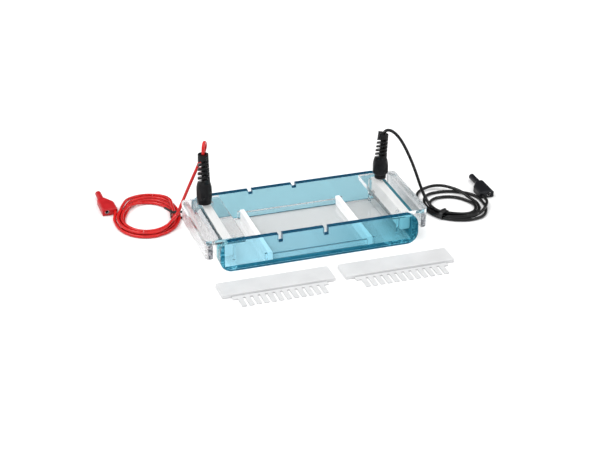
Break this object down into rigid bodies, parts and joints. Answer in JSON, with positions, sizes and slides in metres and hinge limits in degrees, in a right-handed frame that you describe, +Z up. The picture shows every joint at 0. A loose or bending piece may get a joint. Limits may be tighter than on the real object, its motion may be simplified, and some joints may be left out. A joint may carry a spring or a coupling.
{
  "type": "gel electrophoresis chamber",
  "caption": "Horizontal gel electrophoresis tank with two lift-off electrode covers, casting dams, two well combs and a red and a black plug lead.",
  "frame": {"origin": "centre of the tank's footprint, on the bench", "axes": "+X along the tank, towards the end with the black lead; +Y to the back, away from the two combs; +Z up"},
  "size_m": [0.495, 0.3347, 0.1213],
  "materials": {
    "teal_acrylic": "polished transparent teal acrylic",
    "clear_acrylic": "polished clear acrylic",
    "frosted_acrylic": "frosted",
    "white_plastic": "satin white",
    "plated_contact": "plated",
    "electrode_wire": "bright drawn wire",
    "black_moulding": "moulded, satin",
    "red_cord": "smooth flexible sheath",
    "red_moulding": "moulded, satin",
    "black_cord": "smooth flexible sheath",
    "black_plug_moulding": "moulded, satin",
    "black_tie": "plain"
  },
  "bodies": {
    "tank": {"front_side_panel": "teal_acrylic", "back_side_panel": "teal_acrylic", "base_plate": "clear_acrylic", "left_end_wall": "teal_acrylic", "right_end_wall": "teal_acrylic", "gel_bed_rails": "clear_acrylic", "dam_guides": "clear_acrylic"},
    "left_cover": {"left_cover_plate": "clear_acrylic", "left_cover_flange": "clear_acrylic", "left_electrode_carrier": "frosted_acrylic", "left_contact_link": "plated_contact", "left_wire_posts": "clear_acrylic", "left_electrode_wire": "electrode_wire", "left_contact_pin": "plated_contact"},
    "right_cover": {"right_cover_plate": "clear_acrylic", "right_cover_flange": "clear_acrylic", "right_electrode_carrier": "frosted_acrylic", "right_contact_link": "plated_contact", "right_wire_posts": "clear_acrylic", "right_electrode_wire": "electrode_wire", "right_contact_pin": "plated_contact"},
    "red_lead": {"red_lead_collar": "black_moulding", "red_lead_contact_sleeve": "plated_contact", "red_lead_strain_relief": "black_moulding", "red_lead_cord": "red_cord", "red_lead_coil": "red_cord", "red_lead_tie": "black_tie", "red_lead_tail": "red_cord", "red_plug_body": "red_moulding", "red_plug_sleeve": "red_moulding", "red_plug_contact": "plated_contact"},
    "black_lead": {"black_lead_collar": "black_moulding", "black_lead_contact_sleeve": "plated_contact", "black_lead_strain_relief": "black_moulding", "black_lead_cord": "black_cord", "black_lead_coil": "black_cord", "black_lead_tie": "black_tie", "black_lead_tail": "black_cord", "black_plug_body": "black_plug_moulding", "black_plug_sleeve": "black_plug_moulding", "black_plug_contact": "plated_contact"},
    "left_dam": {"left_casting_dam": "white_plastic"},
    "right_dam": {"right_casting_dam": "white_plastic"},
    "comb_a": {"comb_a_handle": "white_plastic", "comb_a_tooth_plate": "white_plastic"},
    "comb_b": {"comb_b_handle": "white_plastic", "comb_b_tooth_plate": "white_plastic"}
  },
  "joints": [
    {"name": "left_cover_lift", "type": "slide", "parent": "tank", "child": "left_cover", "axis": [0, 0, 1], "range_m": [0, 0.06]},
    {"name": "right_cover_lift", "type": "slide", "parent": "tank", "child": "right_cover", "axis": [0, 0, 1], "range_m": [0, 0.06]},
    {"name": "red_lead_pull", "type": "slide", "parent": "left_cover", "child": "red_lead", "axis": [0, 0, 1], "range_m": [0, 0.025]},
    {"name": "black_lead_pull", "type": "slide", "parent": "right_cover", "child": "black_lead", "axis": [0, 0, 1], "range_m": [0, 0.025]},
    {"name": "left_dam_lift", "type": "slide", "parent": "tank", "child": "left_dam", "axis": [0, 0, 1], "range_m": [0, 0.05]},
    {"name": "right_dam_lift", "type": "slide", "parent": "tank", "child": "right_dam", "axis": [0, 0, 1], "range_m": [0, 0.05]},
    {"name": "comb_a_lift", "type": "slide", "parent": "tank", "child": "comb_a", "axis": [0, 0, 1], "range_m": [0, 0.06]},
    {"name": "comb_b_lift", "type": "slide", "parent": "tank", "child": "comb_b", "axis": [0, 0, 1], "range_m": [0, 0.06]}
  ]
}
